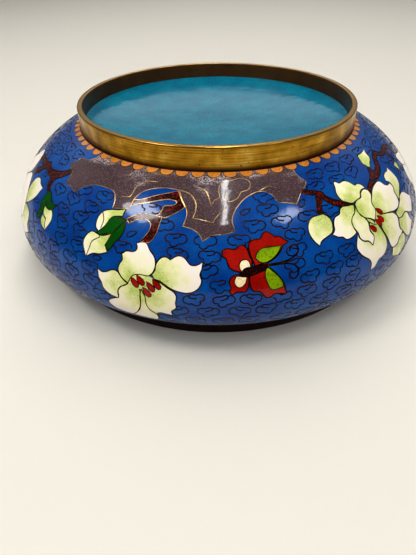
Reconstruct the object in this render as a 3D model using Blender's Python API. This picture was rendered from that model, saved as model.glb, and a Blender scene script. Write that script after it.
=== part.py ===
"""A squat cloisonne bowl that lies mouth down, as it is shown: an enamelled copper
vessel, the brass foot ring that is uppermost, and the dark rim of the mouth that it
rests on. Metres, +Z up. The origin is the centre of the circle it rests on."""

import math

import bmesh
import bpy
from mathutils import Vector

# Vessel: a wide body, widest near the mouth, with heights as it lies mouth down
BODY_RADIUS = 0.095
EQUATOR_HEIGHT = 0.0224
SEAT_HEIGHT = 0.0584
WALL = 0.0022

# Curve of the side from the foot ring out to the widest line
BASE_SIDE_SLOPE = math.radians(10)
BASE_SIDE_FLATNESS = 0.3
BASE_SIDE_FULLNESS = 0.53

# Curve of the side from the widest line in to the mouth
MOUTH_SIDE_SLOPE = math.radians(49)
MOUTH_SIDE_FULLNESS = 0.56
MOUTH_SIDE_FLATNESS = 0.58

# Base inside the foot ring: it stands a little proud there and is dished
BASE_RISE = 0.0018
BASE_DISH = 0.006
BASE_DISH_POWER = 3

# Brass foot ring soldered round the base
FOOT_RADIUS = 0.0611
FOOT_WALL = 0.0023
FOOT_HEIGHT = 0.0083
FOOT_EDGE_ROUND = 0.0006
FOOT_SEAT_CHAMFER = 0.0002

# Metal rim soldered round the mouth
RIM_RADIUS = 0.0828
RIM_WALL = 0.003
RIM_HEIGHT = 0.005
RIM_CHAMFER = 0.0004

# Fits between the pieces
SEAT_GAP = 0.0003
SEAT_INSET = 0.0004

# Fineness of the turned surfaces
TURN_STEPS = 72
OUTER_STEPS = (11, 7)
INNER_STEPS = (9, 5)
DISH_STEPS = 5
ROUND_STEPS = 3


def clear_scene():
    for obj in list(bpy.data.objects):
        bpy.data.objects.remove(obj)


def finish(name, color, roughness, metallic):
    """A plain material with the piece's own colour."""
    material = bpy.data.materials.new(name)
    material.use_nodes = True
    shader = material.node_tree.nodes["Principled BSDF"]
    shader.inputs["Base Color"].default_value = (*color, 1.0)
    shader.inputs["Roughness"].default_value = roughness
    shader.inputs["Metallic"].default_value = metallic
    return material


def curve_points(start, start_pull, end_pull, end, steps):
    """Points of a cubic curve, both ends included. Each is a (radius, height) pair."""
    points = []
    for step in range(steps + 1):
        t = step / steps
        s = 1 - t
        points.append(
            s**3 * start
            + 3 * s * s * t * start_pull
            + 3 * s * t * t * end_pull
            + t**3 * end
        )
    return points


def rounded_corner(corner, before, after, radius, steps=ROUND_STEPS):
    """An arc that rounds the right-angled corner between two straight sides."""
    along_in = (before - corner).normalized() * radius
    along_out = (after - corner).normalized() * radius
    centre = corner + along_in + along_out
    points = []
    for step in range(steps + 1):
        turn = math.radians(90) * step / steps
        points.append(centre - along_out * math.cos(turn) - along_in * math.sin(turn))
    return points


def side_of_vessel(base, equator, mouth, steps):
    """A side from the base's edge, out to the widest line and in to the mouth."""
    run = equator.x - base.x
    rise = base.y - equator.y
    base_pull = base + BASE_SIDE_FLATNESS * run * Vector(
        (math.cos(BASE_SIDE_SLOPE), -math.sin(BASE_SIDE_SLOPE))
    )
    equator_pull_up = equator + Vector((0, BASE_SIDE_FULLNESS * rise))
    drop = equator.y - mouth.y
    tuck = equator.x - mouth.x
    equator_pull_down = equator - Vector((0, MOUTH_SIDE_FULLNESS * drop))
    mouth_pull = mouth + MOUTH_SIDE_FLATNESS * tuck * Vector(
        (math.cos(MOUTH_SIDE_SLOPE), math.sin(MOUTH_SIDE_SLOPE))
    )
    upper = curve_points(base, base_pull, equator_pull_up, equator, steps[0])
    lower = curve_points(equator, equator_pull_down, mouth_pull, mouth, steps[1])
    return upper + lower[1:]


def dished(radius, edge_height, depth):
    """Points of a shallow dish from its centre out to its edge."""
    points = []
    for step in range(DISH_STEPS + 1):
        share = math.sin(math.radians(90) * step / DISH_STEPS)
        height = edge_height - depth * (1 - share**BASE_DISH_POWER)
        points.append(Vector((radius * share, height)))
    return points


def turned(name, outline, material):
    """A solid of revolution from a closed (radius, height) outline."""
    bm = bmesh.new()
    verts = [bm.verts.new((point.x, 0, point.y)) for point in outline]
    edges = [bm.edges.new((a, b)) for a, b in zip(verts, verts[1:])]
    if outline[0].x > 0:
        edges.append(bm.edges.new((verts[-1], verts[0])))
    bmesh.ops.spin(
        bm,
        geom=verts + edges,
        cent=(0, 0, 0),
        axis=(0, 0, 1),
        angle=2 * math.pi,
        steps=TURN_STEPS,
        use_merge=True,
    )
    bmesh.ops.remove_doubles(bm, verts=bm.verts[:], dist=1e-6)
    bmesh.ops.recalc_face_normals(bm, faces=bm.faces[:])
    mesh = bpy.data.meshes.new(name)
    bm.to_mesh(mesh)
    bm.free()
    mesh.shade_smooth()
    mesh.set_sharp_from_angle(angle=math.radians(35))
    mesh.materials.append(material)
    obj = bpy.data.objects.new(name, mesh)
    bpy.context.scene.collection.objects.link(obj)
    return obj


def bowl_body():
    """The enamelled vessel, open at the mouth, with a wall of even thickness."""
    mouth_height = RIM_HEIGHT + SEAT_GAP
    outer_side = side_of_vessel(
        base=Vector((FOOT_RADIUS - SEAT_INSET, SEAT_HEIGHT)),
        equator=Vector((BODY_RADIUS, EQUATOR_HEIGHT)),
        mouth=Vector((RIM_RADIUS + SEAT_INSET, mouth_height)),
        steps=OUTER_STEPS,
    )
    inner_height = SEAT_HEIGHT - WALL
    inner_side = side_of_vessel(
        base=Vector((FOOT_RADIUS - SEAT_INSET, inner_height)),
        equator=Vector((BODY_RADIUS - WALL, EQUATOR_HEIGHT)),
        mouth=Vector((RIM_RADIUS - RIM_WALL + SEAT_INSET, mouth_height)),
        steps=INNER_STEPS,
    )
    base_radius = FOOT_RADIUS - FOOT_WALL - SEAT_GAP
    base_outside = dished(base_radius, SEAT_HEIGHT + BASE_RISE, BASE_DISH)
    depth_left = BASE_DISH - BASE_RISE
    dish_left = (depth_left / BASE_DISH) ** (1 / BASE_DISH_POWER)
    base_inside = dished(base_radius * dish_left, inner_height, depth_left)
    ring_seat = [Vector((base_radius, SEAT_HEIGHT))]
    outline = base_outside + ring_seat + outer_side + inner_side[::-1] + base_inside[::-1]
    blue = finish("blue_enamel", (0.004, 0.055, 0.27), 0.12, 0.0)
    return turned("bowl_body", outline, blue)


def foot_ring():
    """The brass foot: a plain cylinder wall with a rounded edge."""
    inner = FOOT_RADIUS - FOOT_WALL
    bottom = SEAT_HEIGHT + SEAT_GAP
    top = bottom + FOOT_HEIGHT
    outer_top = Vector((FOOT_RADIUS, top))
    inner_top = Vector((inner, top))
    outer_bottom = Vector((FOOT_RADIUS, bottom))
    inner_bottom = Vector((inner, bottom))
    outline = (
        rounded_corner(inner_top, inner_bottom, outer_top, FOOT_EDGE_ROUND)
        + rounded_corner(outer_top, inner_top, outer_bottom, FOOT_EDGE_ROUND)
        + rounded_corner(outer_bottom, outer_top, inner_bottom, FOOT_SEAT_CHAMFER, 1)
        + rounded_corner(inner_bottom, outer_bottom, inner_top, FOOT_SEAT_CHAMFER, 1)
    )
    brass = finish("aged_brass", (0.42, 0.27, 0.07), 0.3, 1.0)
    return turned("foot_ring", outline, brass)


def mouth_rim():
    """The metal rim of the mouth, dark with age, on which the bowl lies."""
    inner = RIM_RADIUS - RIM_WALL
    outer_top = Vector((RIM_RADIUS, RIM_HEIGHT))
    inner_top = Vector((inner, RIM_HEIGHT))
    outer_bottom = Vector((RIM_RADIUS, 0))
    inner_bottom = Vector((inner, 0))
    outline = (
        [inner_top, outer_top]
        + rounded_corner(outer_bottom, outer_top, inner_bottom, RIM_CHAMFER, 1)
        + rounded_corner(inner_bottom, outer_bottom, inner_top, RIM_CHAMFER, 1)
    )
    dark_copper = finish("darkened_copper", (0.05, 0.012, 0.01), 0.45, 0.8)
    return turned("mouth_rim", outline, dark_copper)


def main():
    clear_scene()
    bowl_body()
    foot_ring()
    mouth_rim()


main()
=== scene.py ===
"""Looks of a squat cloisonne bowl that lies mouth down: blue enamel inlaid with
magnolia sprays, a butterfly and clouds, a brass foot ring round a turquoise base,
and the dark rim of its mouth."""

import math
import random
from collections import defaultdict

import bmesh
import bpy
import numpy as np
from mathutils import Matrix, Vector


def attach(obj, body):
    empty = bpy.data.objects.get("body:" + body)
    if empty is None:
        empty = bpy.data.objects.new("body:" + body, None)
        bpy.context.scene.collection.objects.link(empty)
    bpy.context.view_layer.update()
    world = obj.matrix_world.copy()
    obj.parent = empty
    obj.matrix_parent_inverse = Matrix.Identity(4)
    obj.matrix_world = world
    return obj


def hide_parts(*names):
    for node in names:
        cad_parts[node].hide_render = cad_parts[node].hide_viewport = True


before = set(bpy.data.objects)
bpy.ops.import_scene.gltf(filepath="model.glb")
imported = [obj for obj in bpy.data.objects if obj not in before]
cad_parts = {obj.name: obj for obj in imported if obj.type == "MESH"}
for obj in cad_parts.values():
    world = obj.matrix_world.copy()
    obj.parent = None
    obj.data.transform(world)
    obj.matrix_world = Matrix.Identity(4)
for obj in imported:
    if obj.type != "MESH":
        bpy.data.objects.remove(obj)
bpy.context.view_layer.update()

MM = 0.001

# Vessel: points of its outer and inner side, as (radius, height) in mm
SIDE_START = np.array((60.7, 58.4))
EQUATOR = np.array((95.0, 22.4))
SIDE_END = np.array((83.2, 5.3))
INNER_START = np.array((60.7, 56.2))
INNER_EQUATOR = np.array((92.8, 22.4))
INNER_END = np.array((80.2, 5.3))

# Slopes of its curve at both ends, and how far each end pulls it, as in the solid
BASE_SLOPE = math.radians(10)
BASE_FLATNESS = 0.3
BASE_FULLNESS = 0.53
MOUTH_SLOPE = math.radians(49)
MOUTH_FLATNESS = 0.58
MOUTH_FULLNESS = 0.56

# Dished base, and its edge under the foot ring
BASE_RADIUS = 58.5
BASE_EDGE = 60.2
BASE_DISH = 6.0
BASE_RISE = 1.8
BASE_LAP = 0.25

# Rings
FOOT_OUTER = 61.1
FOOT_INNER = 58.8
FOOT_BOTTOM = 58.4
FOOT_TOP = 67.0
FOOT_ROUND = 0.6
RIM_OUTER = 82.8
RIM_INNER = 79.8
RIM_TOP = 5.3
RIM_ROUND = 0.4
SOLDER_SEAM = [(60.6, 58.2), (60.6, 58.75), (61.2, 58.75), (61.42, 58.42), (61.42, 58.1)]

# Blue ground: where it starts and ends down the side, and how deep it goes
GROUND_START = -0.35
GROUND_END = 74.4
GROUND_DEPTH = 0.9
GROUND_INSET = 0.12

# Cells and wires of the picture, on the ground
CELL_DEPTH = 0.3
CELL_CUTS = ((Vector((1, 0, 0)), 2.6), (Vector((0, 1, 0)), 1.3))
WIRE_WIDTH = 0.42
WIRE_RISE = 0.09
WIRE_SINK = 0.12
PETAL_REACH = 14.0

# The picture is drawn on a flat sheet, which is then wrapped round the side
SHEET_RADIUS = 95.0
SHEET_AROUND = 2 * math.pi * SHEET_RADIUS
SHARP_TURN = math.radians(62)

# Fineness of the turned surfaces
TURN_STEPS = 240
SIDE_STEPS = 200
LINING_STEPS = 24
SHARP_EDGE = math.radians(40)

random.seed(7)


def cubic(start, start_pull, end_pull, end, steps):
    t = np.linspace(0, 1, steps + 1)[:, None]
    s = 1 - t
    return (
        s**3 * start
        + 3 * s * s * t * start_pull
        + 3 * s * t * t * end_pull
        + t**3 * end
    )


def vessel_side(base, equator, mouth, steps):
    """The curve of a side from the foot ring out to the widest line and in to the mouth."""
    run, rise = equator[0] - base[0], base[1] - equator[1]
    drop, tuck = equator[1] - mouth[1], equator[0] - mouth[0]
    base_way = np.array((math.cos(BASE_SLOPE), -math.sin(BASE_SLOPE)))
    mouth_way = np.array((math.cos(MOUTH_SLOPE), math.sin(MOUTH_SLOPE)))
    upper = cubic(
        base,
        base + BASE_FLATNESS * run * base_way,
        equator + np.array((0, BASE_FULLNESS * rise)),
        equator,
        steps,
    )
    lower = cubic(
        equator,
        equator - np.array((0, MOUTH_FULLNESS * drop)),
        mouth + MOUTH_FLATNESS * tuck * mouth_way,
        mouth,
        steps,
    )
    return np.concatenate((upper, lower[1:]))


SIDE = vessel_side(SIDE_START, EQUATOR, SIDE_END, SIDE_STEPS)
SIDE_STEP = np.diff(SIDE, axis=0)
SIDE_RUN = np.concatenate(((0,), np.cumsum(np.hypot(*SIDE_STEP.T))))
# The way down the side in mm from the ring's outer edge, and the same way stretched on
# the sheet as much as the sheet stretches round the side, so that shapes stay true
DOWN = SIDE_RUN - np.interp(FOOT_OUTER, SIDE[:SIDE_STEPS, 0], SIDE_RUN[:SIDE_STEPS])
MID_RADIUS = (SIDE[1:, 0] + SIDE[:-1, 0]) / 2
TRUE_DOWN = np.concatenate(((0,), np.cumsum(np.diff(SIDE_RUN) / MID_RADIUS)))
TRUE_DOWN = (TRUE_DOWN - np.interp(0, DOWN, TRUE_DOWN)) * SHEET_RADIUS
SIDE_SLOPE = np.gradient(SIDE, SIDE_RUN, axis=0)
SIDE_NORMAL = np.stack((-SIDE_SLOPE[:, 1], SIDE_SLOPE[:, 0]), axis=1)
SIDE_NORMAL /= np.hypot(*SIDE_NORMAL.T)[:, None]


def raised(where, places, rise):
    """Radius and height in mm of points of the side at these places, and so proud."""
    return [
        np.interp(places, where, SIDE[:, axis]) + rise * np.interp(places, where, normal)
        for axis, normal in enumerate(SIDE_NORMAL.T)
    ]


def on_sheet(degrees, down):
    """A place on the flat sheet, in mm, from its angle and its way down the side."""
    y = -float(np.interp(down, DOWN, TRUE_DOWN))
    return Vector((math.radians(degrees) * SHEET_RADIUS, y, 0))


def sheet_scale(y):
    """How much the sheet is drawn in at a height on it."""
    return float(np.interp(-y, TRUE_DOWN, SIDE[:, 0])) / SHEET_RADIUS


def wrap(mesh):
    """Lays a mesh from the flat sheet on the side. Its height there becomes its rise."""
    flat = np.empty(len(mesh.vertices) * 3)
    mesh.vertices.foreach_get("co", flat)
    x, y, z = flat.reshape(-1, 3).T
    turn = x / SHEET_RADIUS
    radius, height = raised(TRUE_DOWN, -y, z - GROUND_INSET)
    placed = np.stack((radius * np.sin(turn), -radius * np.cos(turn), height), axis=1) * MM
    mesh.vertices.foreach_set("co", placed.ravel())
    mesh.update()


# Materials

NOISE = "ShaderNodeTexNoise"
RAMP = "ShaderNodeValToRGB"
MIX = "ShaderNodeMix"
MATH = "ShaderNodeMath"
RANGE = "ShaderNodeMapRange"
VECTOR = "ShaderNodeVectorMath"
PARTS = "ShaderNodeSeparateXYZ"
BUMP = "ShaderNodeBump"
COORDINATES = "ShaderNodeTexCoord"

# Sockets of a mix of two colours
SHARE, ONE, OTHER = 0, 6, 7


def linear(code):
    """A colour in sRGB hex as the linear values that shaders take."""
    values = []
    for place in (0, 2, 4):
        share = int(code[place:place + 2], 16) / 255
        values.append(share / 12.92 if share <= 0.04045 else ((share + 0.055) / 1.055) ** 2.4)
    return (*values, 1.0)


def grey(value):
    return (value, value, value, 1)


def per_mm(size):
    """A texture scale at which one cell measures so many mm."""
    return 1 / (size * MM)


def connect(node, inputs):
    """Sets a node's sockets, and links those whose value is a node or a socket."""
    for socket, value in inputs.items():
        if isinstance(value, bpy.types.Node):
            value = next(output for output in value.outputs if output.enabled)
        if isinstance(value, bpy.types.NodeSocket):
            node.id_data.links.new(value, node.inputs[socket])
        else:
            node.inputs[socket].default_value = value


def add(tree, kind, inputs=None, stops=(), **settings):
    """Adds a node, with its settings and a ramp's colours, and its sockets set or linked."""
    made = tree.nodes.new(kind)
    for name, value in settings.items():
        setattr(made, name, value)
    for index, (position, color) in enumerate(stops):
        elements = made.color_ramp.elements
        element = elements[index] if index < 2 else elements.new(position)
        element.position = position
        element.color = color
    connect(made, inputs or {})
    return made


def new_material(name, **settings):
    """A material, its nodes and its shader, with the shader's own sockets set."""
    material = bpy.data.materials.new(name)
    material.use_nodes = True
    shader = material.node_tree.nodes["Principled BSDF"]
    connect(shader, {socket.replace("_", " "): value for socket, value in settings.items()})
    return material, material.node_tree, shader


def glaze(
    name, body, shade, grain, grain_mm=0.5, pits=0.35, roughness=0.26, gloss=0.1, wave=0.25
):
    """Fused glass enamel, ground flush and polished: an even colour with cloudy depth,
    fine darker or paler grains where the powder fused, a soft sheen from the grinding and
    a sharper gloss over it."""
    material, tree, shader = new_material(
        name, Roughness=roughness, IOR=1.5, Specular_IOR_Level=0.1,
        Coat_Weight=0.5, Coat_Roughness=gloss,
    )
    place = add(tree, COORDINATES).outputs["Object"]
    clouds = add(tree, NOISE, {"Vector": place, "Scale": per_mm(9), "Detail": 3.0})
    cloudy = add(tree, RAMP, {0: clouds}, ((0.35, linear(shade)), (0.65, linear(body))))
    grains = add(tree, NOISE, {"Vector": place, "Scale": per_mm(grain_mm), "Detail": 2.0})
    amount = add(tree, RAMP, {0: grains}, ((0.5, grey(0)), (0.7, grey(pits))))
    color = add(
        tree, MIX, {SHARE: amount, ONE: cloudy, OTHER: linear(grain)}, data_type="RGBA"
    )
    swell = add(tree, NOISE, {"Vector": place, "Scale": per_mm(5), "Detail": 2.0})
    bump = add(tree, BUMP, {"Height": swell, "Strength": wave, "Distance": 0.2 * MM})
    connect(shader, {"Base Color": color, "Normal": bump, "Coat Normal": bump})
    return material, tree, shader, color


blue_glaze = glaze("cobalt_blue_enamel", "044C90", "033A7E", "021E4A")[0]
turquoise_glaze = glaze(
    "turquoise_counter_enamel", "0C7488", "08647C", "053E50", grain_mm=0.7, pits=0.55,
    roughness=0.12, gloss=0.03, wave=0.5,
)[0]
ochre_glaze = glaze("ochre_enamel", "D48C40", "C47E30", "8A4A18", pits=0.6)[0]
twig_glaze = glaze(
    "dark_red_brown_enamel", "2C0C06", "1C0805", "8A160A", grain_mm=0.9, pits=0.9
)[0]
red_glaze = glaze("iron_red_enamel", "A41404", "8E0C02", "4E0604", pits=0.5)[0]
leaf_glaze = glaze("leaf_green_enamel", "04540A", "034608", "032806", pits=0.5)[0]
lime_glaze = glaze(
    "yellow_green_enamel", "86A408", "729006", "3E5C0C", grain_mm=0.8, pits=0.7
)[0]
cream_glaze = glaze("cream_enamel", "F2E2BC", "E8D2A4", "B89A60", grain_mm=0.7, pits=0.5)[0]
dark_glaze = glaze(
    "brown_black_enamel", "1A0604", "100403", "5A0A06", grain_mm=0.7, pits=0.6
)[0]


def trunk_glaze():
    """Purple brown enamel with pale specks. Near the foot ring a patchy whitish veil is laid into
    its colour: partly fine scuffs, partly painted sheen of light glancing off them."""
    material, tree, shader, color = glaze(
        "purple_brown_enamel", "4A3638", "402E30", "7E7074", grain_mm=0.45, pits=0.5,
        roughness=0.34, gloss=0.07,
    )
    place = add(tree, COORDINATES).outputs["Object"]
    height = add(tree, PARTS, {0: place}).outputs[2]
    # The whitish veil near the foot ring, painted sheen over fine scuffs: its band, its patches
    # and its fine grain
    near_ring = add(
        tree, RANGE,
        {"Value": height, "From Min": 54.5 * MM, "From Max": 57.5 * MM, "To Max": 0.2},
    )
    drawn = add(tree, VECTOR, {0: place, 1: (0.6, 1.0, 1.0)}, operation="MULTIPLY")
    patches = add(tree, NOISE, {"Vector": drawn, "Scale": per_mm(7), "Detail": 6.0})
    where = add(tree, MATH, {0: patches, 1: near_ring}, operation="ADD")
    zone = add(tree, RAMP, {0: where}, ((0.64, grey(0)), (0.8, grey(1))))
    fine = add(tree, NOISE, {"Vector": place, "Scale": per_mm(0.6), "Detail": 3.0})
    scuff_sheen_grain = add(tree, RAMP, {0: fine}, ((0.42, grey(0)), (0.62, grey(0.75))))
    scuff_and_sheen = add(tree, MATH, {0: zone, 1: scuff_sheen_grain}, operation="MULTIPLY")
    with_scuff_and_sheen = add(
        tree, MIX, {SHARE: scuff_and_sheen, ONE: color, OTHER: linear("C8BCBC")}, data_type="RGBA"
    )
    connect(shader, {"Base Color": with_scuff_and_sheen})
    return material


branch_glaze = trunk_glaze()


def petal_glaze():
    """Opaque white enamel over yellow green at the petal's foot: a soft powdery passage
    from one to the other, with fine green specks near the foot."""
    material, tree, shader = new_material(
        "petal_enamel", Roughness=0.26, IOR=1.5, Specular_IOR_Level=0.1,
        Coat_Weight=0.5, Coat_Roughness=0.1,
    )
    place = add(tree, COORDINATES).outputs["Object"]
    share = add(tree, "ShaderNodeAttribute", attribute_name="from_foot").outputs["Fac"]
    cloud = add(tree, NOISE, {"Vector": place, "Scale": per_mm(5), "Detail": 4.0})
    shift = add(tree, MATH, {0: cloud, 1: 1.1, 2: -0.55}, operation="MULTIPLY_ADD")
    mixed = add(tree, MATH, {0: share, 1: shift}, operation="ADD")
    colors = ((0.12, "B8C26C"), (0.45, "D8D89A"), (0.7, "E8E2BE"), (0.95, "EEE2D6"))
    powdered = add(tree, RAMP, {0: mixed}, [(stop, linear(code)) for stop, code in colors])
    specks = add(tree, NOISE, {"Vector": place, "Scale": per_mm(0.6), "Detail": 1.0})
    speck = add(tree, RAMP, {0: specks}, ((0.58, grey(0)), (0.7, grey(1))))
    near_foot = add(tree, RAMP, {0: mixed}, ((0.2, grey(0.8)), (0.6, grey(0))))
    amount = add(tree, MATH, {0: speck, 1: near_foot}, operation="MULTIPLY")
    color = add(
        tree, MIX, {SHARE: amount, ONE: powdered, OTHER: linear("7E9A34")}, data_type="RGBA"
    )
    connect(shader, {"Base Color": color})
    return material


petal_enamel = petal_glaze()


def wire_metal(name, color, shade, roughness):
    """Thin gilt brass wire between the enamels: dull brown, and gold where light catches."""
    material, tree, shader = new_material(name, Metallic=1.0, Roughness=roughness)
    place = add(tree, COORDINATES).outputs["Object"]
    tarnish = add(tree, NOISE, {"Vector": place, "Scale": per_mm(4), "Detail": 3.0})
    shown = add(tree, RAMP, {0: tarnish}, ((0.35, linear(shade)), (0.7, linear(color))))
    connect(shader, {"Base Color": shown})
    return material


# Two copies of one gilt wire: the dull one is darkened partly by tarnish and partly as painted
# shade of the dark room it mirrors; the bright one, used on the trunk, is a painted highlight,
# lighter where light catches the trunk
dull_wire = wire_metal("tarnished_shaded_gilt_wire", "4A3216", "1E120A", 0.4)
bright_wire = wire_metal("gilt_wire", "D8BC84", "9A7C48", 0.3)


def dark_metal(name, color, shade, roughness, metallic):
    """Dark maroon copper alloy, rubbed smooth, with a few duller patches."""
    material, tree, shader = new_material(name, Metallic=metallic, Roughness=roughness)
    place = add(tree, COORDINATES).outputs["Object"]
    patches = add(tree, NOISE, {"Vector": place, "Scale": per_mm(3), "Detail": 5.0})
    shown = add(tree, RAMP, {0: patches}, ((0.35, linear(shade)), (0.65, linear(color))))
    connect(shader, {"Base Color": shown})
    return material


rim_metal = dark_metal("darkened_copper_rim", "2E0C0E", "180607", 0.4, 0.7)
# The solder ring in the gap under the foot ring is coloured dark as painted shade of that gap
gap_shade_metal = dark_metal("solder_painted_dark", "3A1608", "140804", 0.6, 0.5)


def foot_brass():
    """Turned brass gone amber: fine turning marks round it, dark flecks where it was struck,
    brown and less metallic on its inner face, a duller band of colour along its top edge,
    and painted shade that darkens it towards its foot, where it meets the side."""
    material, tree, shader = new_material("aged_turned_brass", Metallic=1.0, Roughness=0.28)
    place = add(tree, COORDINATES).outputs["Object"]
    parts = add(tree, PARTS, {0: place}).outputs
    around = add(tree, MATH, {0: parts[0], 1: parts[1]}, operation="ARCTAN2")
    unrolled = add(tree, "ShaderNodeCombineXYZ", {0: around, 1: 0.0, 2: parts[2]})
    drawn = add(
        tree, VECTOR, {0: unrolled, 1: (3.0, 1.0, per_mm(0.5))}, operation="MULTIPLY"
    )
    marks = add(tree, NOISE, {"Vector": drawn, "Scale": 1.0, "Detail": 4.0})
    patina = add(tree, NOISE, {"Vector": place, "Scale": per_mm(7), "Detail": 5.0})
    colors = ((0.32, "96701E"), (0.52, "C09230"), (0.72, "DEB858"))
    metal = add(tree, RAMP, {0: patina}, [(stop, linear(code)) for stop, code in colors])
    streak = add(tree, RAMP, {0: marks}, ((0.36, grey(0.55)), (0.6, grey(1))))
    brushed = add(
        tree, MIX, {SHARE: 1.0, ONE: metal, OTHER: streak},
        data_type="RGBA", blend_type="MULTIPLY",
    )
    spots = add(tree, NOISE, {"Vector": place, "Scale": per_mm(1.3), "Detail": 2.0})
    fleck = add(tree, RAMP, {0: spots}, ((0.66, grey(0)), (0.72, grey(0.8))))
    flat = add(tree, VECTOR, {0: place, 1: (1, 1, 0)}, operation="MULTIPLY")
    reach = add(tree, VECTOR, {0: flat}, operation="LENGTH")
    # Masks: a duller band along the top edge; painted shade darkening the ring towards its foot,
    # where it meets the side; a brown, less metallic inner face
    edge, seam_shade, inside = (
        add(
            tree, RANGE,
            {"Value": value, "From Min": start * MM, "From Max": end * MM, "To Max": most},
        )
        for value, start, end, most in (
            (parts[2], 66.3, 66.9, 0.85), (parts[2], 60.8, 58.9, 0.85), (reach, 59.3, 58.9, 0.93)
        )
    )
    color = brushed
    for share, code in ((fleck, "38260C"), (edge, "B88E48"), (seam_shade, "40200A"), (inside, "46260A")):
        color = add(
            tree, MIX, {SHARE: share, ONE: color, OTHER: linear(code)}, data_type="RGBA"
        )
    bare = add(tree, MATH, {0: 1.0, 1: inside}, operation="SUBTRACT")
    bump = add(tree, BUMP, {"Height": marks, "Strength": 0.35, "Distance": 0.05 * MM})
    connect(shader, {"Base Color": color, "Metallic": bare, "Normal": bump})
    return material


aged_brass = foot_brass()


# Pieces


def new_piece(name, mesh, material, slot, *nodes):
    """Puts a finished mesh in the scene as a piece of the bowl."""
    mesh.name = name
    mesh.materials.clear()
    mesh.materials.append(material)
    piece = bpy.data.objects.new(name, mesh)
    bpy.context.scene.collection.objects.link(piece)
    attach(piece, "root")
    if nodes:
        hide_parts(*nodes)


def mesh_of(name, bm):
    """The mesh of a finished bmesh."""
    mesh = bpy.data.meshes.new(name)
    bm.to_mesh(mesh)
    bm.free()
    return mesh


def turned(outline):
    """A mesh turned from a closed outline of (radius, height) points in mm."""
    bm = bmesh.new()
    verts = [bm.verts.new((radius * MM, 0, height * MM)) for radius, height in outline]
    edges = [bm.edges.new(pair) for pair in zip(verts, verts[1:])]
    if outline[0][0] > 0:
        edges.append(bm.edges.new((verts[-1], verts[0])))
    bmesh.ops.spin(
        bm, geom=verts + edges, cent=(0, 0, 0), axis=(0, 0, 1),
        angle=2 * math.pi, steps=TURN_STEPS, use_merge=True,
    )
    bmesh.ops.remove_doubles(bm, verts=bm.verts[:], dist=1e-7)
    bmesh.ops.recalc_face_normals(bm, faces=bm.faces[:])
    mesh = mesh_of("turned", bm)
    mesh.shade_smooth()
    mesh.set_sharp_from_angle(angle=SHARP_EDGE)
    return mesh


def rounded(corner, start, end, radius, steps):
    """Points that round the corner between two level or upright sides."""
    corner, start, end = Vector(corner), Vector(start), Vector(end)
    back = (start - corner).normalized() * radius
    on = (end - corner).normalized() * radius
    centre = corner + back + on
    points = []
    for step in range(steps + 1):
        turn = math.radians(90) * step / steps
        points.append(tuple(centre - on * math.cos(turn) - back * math.sin(turn)))
    return points


def dish(radius, edge, depth, steps):
    """Points of the dished base from its centre to its edge."""
    shares = [step / steps for step in range(steps + 1)]
    return [(radius * share, edge - depth * (1 - share**3)) for share in shares]


def sunk_side(depth, step):
    """Points of the blue ground's side, so deep under the vessel's own."""
    length = GROUND_END - GROUND_START
    count = round(length / step)
    downs = [GROUND_START + length * index / count for index in range(count + 1)]
    return [tuple(float(part) for part in raised(DOWN, down, -depth)) for down in downs]


def make_vessel():
    outer = sunk_side(GROUND_INSET, 0.8)
    under = sunk_side(GROUND_DEPTH, 2.4)
    new_piece("blue_ground", turned(outer + under[::-1]), blue_glaze, "blue_enamel", "bowl_body")
    base_out = dish(BASE_RADIUS + BASE_LAP, BASE_EDGE, BASE_DISH, 40)
    under_blue = sunk_side(GROUND_DEPTH + 0.1, 2.4)
    side = vessel_side(INNER_START, INNER_EQUATOR, INNER_END, LINING_STEPS)
    lining = [tuple(point) for point in side]
    share = (1 - BASE_RISE / BASE_DISH) ** (1 / 3)
    base_in = dish(BASE_RADIUS * share, INNER_START[1], BASE_DISH - BASE_RISE, 16)
    outline = base_out + [(BASE_RADIUS + BASE_LAP, FOOT_BOTTOM - 0.9)]
    outline += under_blue + lining[::-1] + base_in[::-1]
    new_piece(
        "turquoise_base_and_lining", turned(outline), turquoise_glaze,
        "turquoise_enamel", "bowl_body",
    )


def make_foot_ring():
    seat = FOOT_BOTTOM + 0.1
    inner_top, outer_top = (FOOT_INNER, FOOT_TOP), (FOOT_OUTER, FOOT_TOP)
    outline = (
        rounded(inner_top, (FOOT_INNER, seat), outer_top, FOOT_ROUND, 5)
        + rounded(outer_top, inner_top, (FOOT_OUTER, seat), FOOT_ROUND, 5)
        + [(FOOT_OUTER, 64), (FOOT_OUTER, 61.5), (FOOT_OUTER, seat)]
        + [(FOOT_INNER, seat), (FOOT_INNER, 61), (FOOT_INNER, 64)]
    )
    new_piece("brass_foot_ring", turned(outline), aged_brass, "aged_brass", "foot_ring")
    # A dark ring filling the gap under the foot ring: painted shade of the gap
    new_piece("foot_solder_seam", turned(SOLDER_SEAM), gap_shade_metal, "darkened_copper")


def make_mouth_rim():
    inner_top, outer_top = (RIM_INNER, RIM_TOP), (RIM_OUTER, RIM_TOP)
    outline = (
        [inner_top, outer_top]
        + rounded((RIM_OUTER, 0), outer_top, (RIM_INNER, 0), RIM_ROUND, 3)
        + rounded((RIM_INNER, 0), (RIM_OUTER, 0), inner_top, RIM_ROUND, 3)
    )
    new_piece("dark_mouth_rim", turned(outline), rim_metal, "darkened_copper", "mouth_rim")


# The flat sheet


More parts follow.
